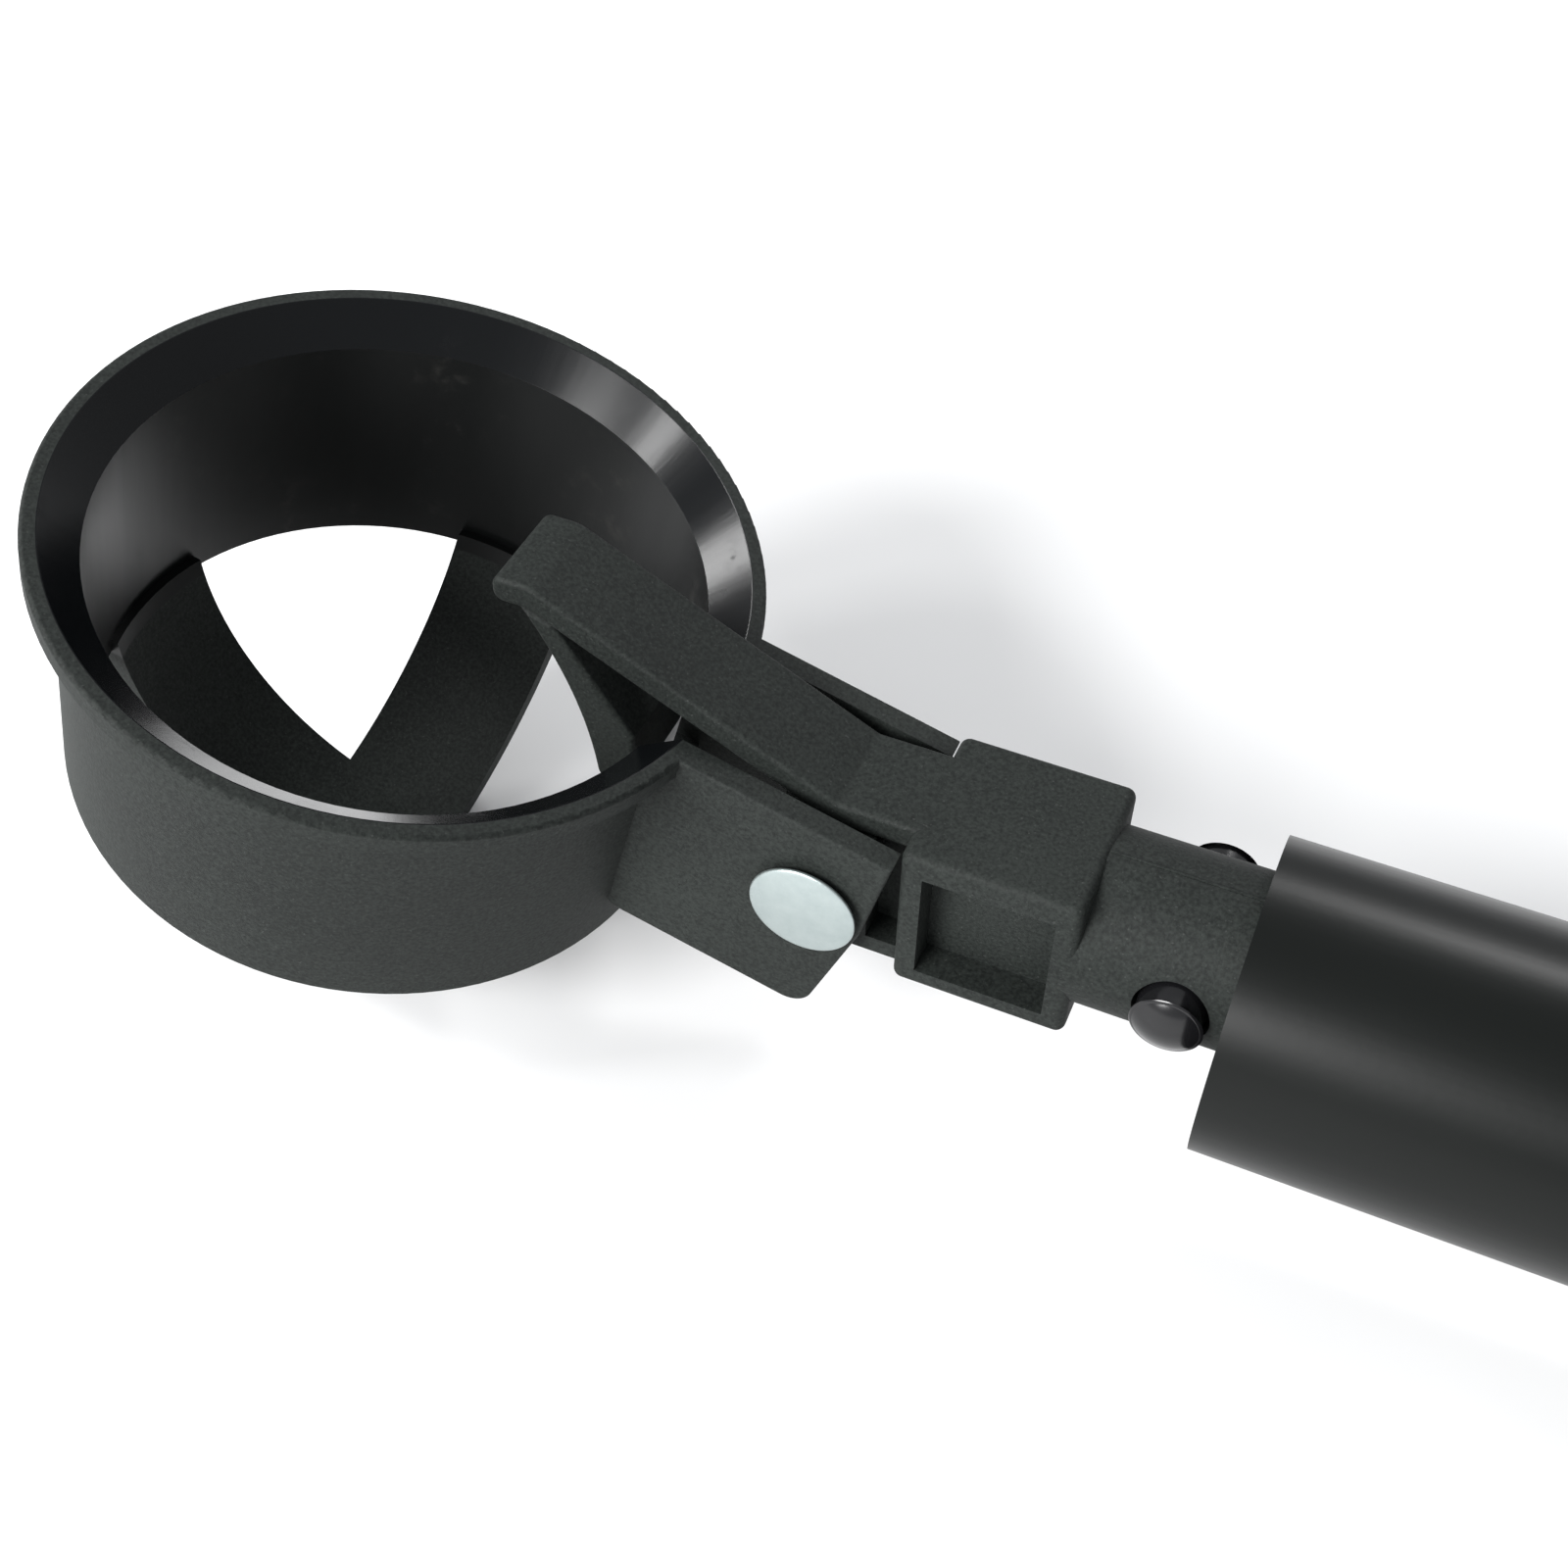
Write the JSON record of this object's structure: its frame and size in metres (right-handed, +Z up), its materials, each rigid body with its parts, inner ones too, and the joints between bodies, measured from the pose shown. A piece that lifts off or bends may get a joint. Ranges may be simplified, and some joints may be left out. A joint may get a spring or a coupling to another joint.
{
  "type": "golf ball retriever",
  "caption": "Telescopic pole with a hinged ring cup and a hook finger that scoop up a golf ball and hold it.",
  "frame": {"origin": "middle of the bottom of the whole tool's box, as it lies on a floor", "axes": "+X along the pole from the cup towards the grip, +Y across, +Z up"},
  "size_m": [0.6828, 0.0566, 0.0509],
  "materials": {
    "head_plastic": "fine moulded grain, black-grey",
    "zinc_steel": "satin zinc plate",
    "spring_steel": "drawn wire and strip",
    "black_steel": "gloss black oxide",
    "outer_paint": "satin black anodised",
    "inner_metal": "drawn satin",
    "bush_plastic": "moulded",
    "ring_rubber": "matte",
    "grip_rubber": "foam-backed, fine ribs",
    "trim_plastic": "semi-gloss",
    "cap_rubber": "matte"
  },
  "bodies": {
    "handle": {"outer_tube": "outer_paint", "outer_mouth_bush": "bush_plastic", "grip": "grip_rubber", "grip_trim": "trim_plastic", "end_plug": "trim_plastic", "end_cap": "cap_rubber", "end_cap_screw": "zinc_steel"},
    "middle_large": {"middle_large_tube": "inner_metal", "middle_large_mouth_bush": "bush_plastic", "middle_large_rear_bush": "bush_plastic", "middle_large_friction_ring": "ring_rubber"},
    "middle_small": {"middle_small_tube": "inner_metal", "middle_small_mouth_bush": "bush_plastic", "middle_small_rear_bush": "bush_plastic", "middle_small_friction_ring": "ring_rubber"},
    "head": {"head_block": "head_plastic", "inner_tube": "inner_metal", "inner_rear_bush": "bush_plastic", "inner_friction_ring": "ring_rubber", "button_clip": "spring_steel", "torsion_spring": "spring_steel"},
    "cup": {"cup": "head_plastic", "hinge_rivet": "zinc_steel", "rivet_washer": "zinc_steel"},
    "button_near": {"snap_button_near": "black_steel"},
    "button_far": {"snap_button_far": "black_steel"}
  },
  "joints": [
    {"name": "large_extend", "type": "slide", "parent": "handle", "child": "middle_large", "axis": [-0.9999, 0, 0.0147], "range_m": [0, 0.5115]},
    {"name": "small_extend", "type": "slide", "parent": "middle_large", "child": "middle_small", "axis": [-0.9999, 0, 0.0147], "range_m": [0, 0.4974]},
    {"name": "inner_extend", "type": "slide", "parent": "middle_small", "child": "head", "axis": [-0.9999, 0, 0.0147], "range_m": [0, 0.4881]},
    {"name": "cup_hinge", "type": "hinge", "parent": "head", "child": "cup", "pos_m": [-0.27305, 0, 0.02481], "axis": [0, -1, 0], "range_deg": [0, 34], "stiffness_Nm_per_rad": 0.05, "springref_deg": -34.38, "deforming": ["torsion_spring"]},
    {"name": "near_button_press", "type": "slide", "parent": "head", "child": "button_near", "axis": [0, 1, 0], "range_m": [0, 0.0028], "stiffness_N_per_m": 600, "springref_m": -0.002, "deforming": ["button_clip"]},
    {"name": "far_button_press", "type": "slide", "parent": "head", "child": "button_far", "axis": [0, -1, 0], "range_m": [0, 0.0028], "stiffness_N_per_m": 600, "springref_m": -0.002}
  ]
}
